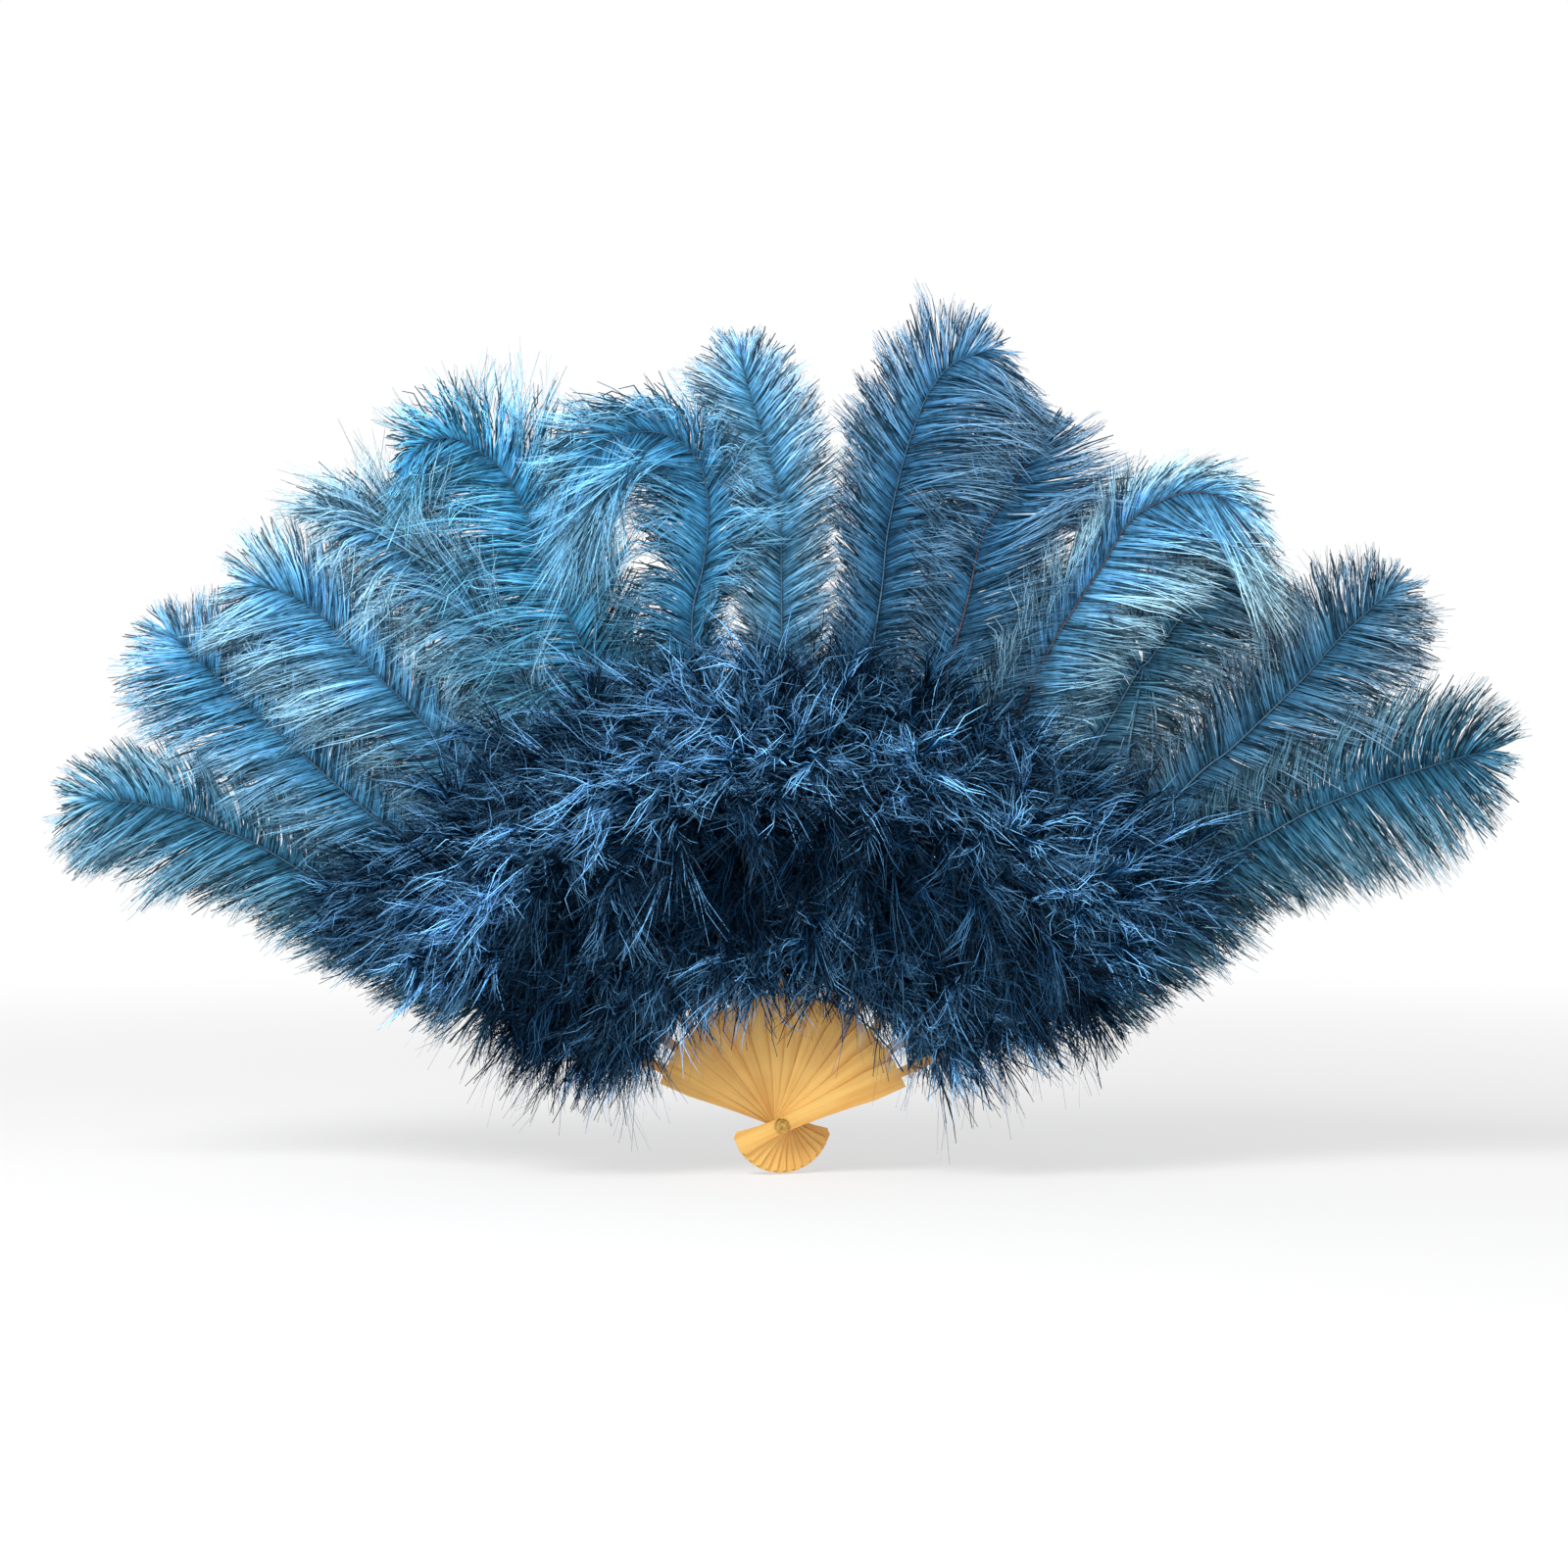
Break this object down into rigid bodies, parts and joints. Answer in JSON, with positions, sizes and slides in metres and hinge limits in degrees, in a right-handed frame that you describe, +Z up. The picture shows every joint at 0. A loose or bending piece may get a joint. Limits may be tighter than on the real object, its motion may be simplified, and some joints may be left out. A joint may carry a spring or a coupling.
{
  "type": "folding feather fan",
  "caption": "Large hand-held folding fan: long curled plumes over thick soft fluff on flat golden sticks that fold on one rivet.",
  "frame": {"origin": "middle of the rivet on which the sticks turn, which is where the fan is held", "axes": "+X to the right as seen from the front, +Y to the back, +Z up along the centre stick; the front faces -Y"},
  "size_m": [1.2236, 0.1168, 0.7227],
  "materials": {
    "stick": "satin",
    "plume": "matte",
    "marabou": "matte",
    "cord": "matte",
    "brass": "polished"
  },
  "bodies": {
    "centre": {"stick_centre": "stick", "plume_centre": "plume", "marabou_front_centre": "marabou", "marabou_back_centre": "marabou", "rivet_pin": "brass", "rivet_cap": "brass", "washer_front": "brass", "washer_back": "brass", "link_cord": "cord"},
    "left_6": {"left_guard": "stick", "plume_left_6": "plume", "marabou_front_left_6": "marabou", "marabou_back_left_6": "marabou"},
    "left_5": {"stick_left_5": "stick", "plume_left_5": "plume", "marabou_front_left_5": "marabou", "marabou_back_left_5": "marabou"},
    "left_4": {"stick_left_4": "stick", "plume_left_4": "plume", "marabou_front_left_4": "marabou", "marabou_back_left_4": "marabou"},
    "left_3": {"stick_left_3": "stick", "plume_left_3": "plume", "marabou_front_left_3": "marabou", "marabou_back_left_3": "marabou"},
    "left_2": {"stick_left_2": "stick", "plume_left_2": "plume", "marabou_front_left_2": "marabou", "marabou_back_left_2": "marabou"},
    "left_1": {"stick_left_1": "stick", "plume_left_1": "plume", "marabou_front_left_1": "marabou", "marabou_back_left_1": "marabou"},
    "right_1": {"stick_right_1": "stick", "plume_right_1": "plume", "marabou_front_right_1": "marabou", "marabou_back_right_1": "marabou"},
    "right_2": {"stick_right_2": "stick", "plume_right_2": "plume", "marabou_front_right_2": "marabou", "marabou_back_right_2": "marabou"},
    "right_3": {"stick_right_3": "stick", "plume_right_3": "plume", "marabou_front_right_3": "marabou", "marabou_back_right_3": "marabou"},
    "right_4": {"stick_right_4": "stick", "plume_right_4": "plume", "marabou_front_right_4": "marabou", "marabou_back_right_4": "marabou"},
    "right_5": {"stick_right_5": "stick", "plume_right_5": "plume", "marabou_front_right_5": "marabou", "marabou_back_right_5": "marabou"},
    "right_6": {"right_guard": "stick", "plume_right_6": "plume", "marabou_front_right_6": "marabou", "marabou_back_right_6": "marabou"}
  },
  "joints": [
    {"name": "left_1_fold", "type": "hinge", "parent": "centre", "child": "left_1", "pos_m": [0, 0, 0], "axis": [0, 1, 0], "range_deg": [0, 11], "deforming": ["marabou_front_left_1", "marabou_back_left_1"]},
    {"name": "left_2_fold", "type": "hinge", "parent": "centre", "child": "left_2", "pos_m": [0, 0, 0], "axis": [0, 1, 0], "range_deg": [0, 22], "deforming": ["marabou_front_left_2", "marabou_back_left_2"]},
    {"name": "left_3_fold", "type": "hinge", "parent": "centre", "child": "left_3", "pos_m": [0, 0, 0], "axis": [0, 1, 0], "range_deg": [0, 33], "deforming": ["marabou_front_left_3", "marabou_back_left_3"]},
    {"name": "left_4_fold", "type": "hinge", "parent": "centre", "child": "left_4", "pos_m": [0, 0, 0], "axis": [0, 1, 0], "range_deg": [0, 44], "deforming": ["marabou_front_left_4", "marabou_back_left_4"]},
    {"name": "left_5_fold", "type": "hinge", "parent": "centre", "child": "left_5", "pos_m": [0, 0, 0], "axis": [0, 1, 0], "range_deg": [0, 55], "deforming": ["marabou_front_left_5", "marabou_back_left_5"]},
    {"name": "left_6_fold", "type": "hinge", "parent": "centre", "child": "left_6", "pos_m": [0, 0, 0], "axis": [0, 1, 0], "range_deg": [0, 66], "deforming": ["marabou_front_left_6", "marabou_back_left_6", "link_cord", "marabou_front_centre", "marabou_back_centre"]},
    {"name": "right_1_fold", "type": "hinge", "parent": "centre", "child": "right_1", "pos_m": [0, 0, 0], "axis": [0, -1, 0], "range_deg": [0, 11], "deforming": ["marabou_front_right_1", "marabou_back_right_1"]},
    {"name": "right_2_fold", "type": "hinge", "parent": "centre", "child": "right_2", "pos_m": [0, 0, 0], "axis": [0, -1, 0], "range_deg": [0, 22], "deforming": ["marabou_front_right_2", "marabou_back_right_2"]},
    {"name": "right_3_fold", "type": "hinge", "parent": "centre", "child": "right_3", "pos_m": [0, 0, 0], "axis": [0, -1, 0], "range_deg": [0, 33], "deforming": ["marabou_front_right_3", "marabou_back_right_3"]},
    {"name": "right_4_fold", "type": "hinge", "parent": "centre", "child": "right_4", "pos_m": [0, 0, 0], "axis": [0, -1, 0], "range_deg": [0, 44], "deforming": ["marabou_front_right_4", "marabou_back_right_4"]},
    {"name": "right_5_fold", "type": "hinge", "parent": "centre", "child": "right_5", "pos_m": [0, 0, 0], "axis": [0, -1, 0], "range_deg": [0, 55], "deforming": ["marabou_front_right_5", "marabou_back_right_5"]},
    {"name": "right_6_fold", "type": "hinge", "parent": "centre", "child": "right_6", "pos_m": [0, 0, 0], "axis": [0, -1, 0], "range_deg": [0, 66], "deforming": ["marabou_front_right_6", "marabou_back_right_6", "link_cord"]}
  ],
  "couplings": [
    {"joint": "left_1_fold", "follows": "left_6_fold", "ratio": 0.16667},
    {"joint": "left_2_fold", "follows": "left_6_fold", "ratio": 0.33333},
    {"joint": "left_3_fold", "follows": "left_6_fold", "ratio": 0.5},
    {"joint": "left_4_fold", "follows": "left_6_fold", "ratio": 0.66667},
    {"joint": "left_5_fold", "follows": "left_6_fold", "ratio": 0.83333},
    {"joint": "right_1_fold", "follows": "right_6_fold", "ratio": 0.16667},
    {"joint": "right_2_fold", "follows": "right_6_fold", "ratio": 0.33333},
    {"joint": "right_3_fold", "follows": "right_6_fold", "ratio": 0.5},
    {"joint": "right_4_fold", "follows": "right_6_fold", "ratio": 0.66667},
    {"joint": "right_5_fold", "follows": "right_6_fold", "ratio": 0.83333}
  ]
}
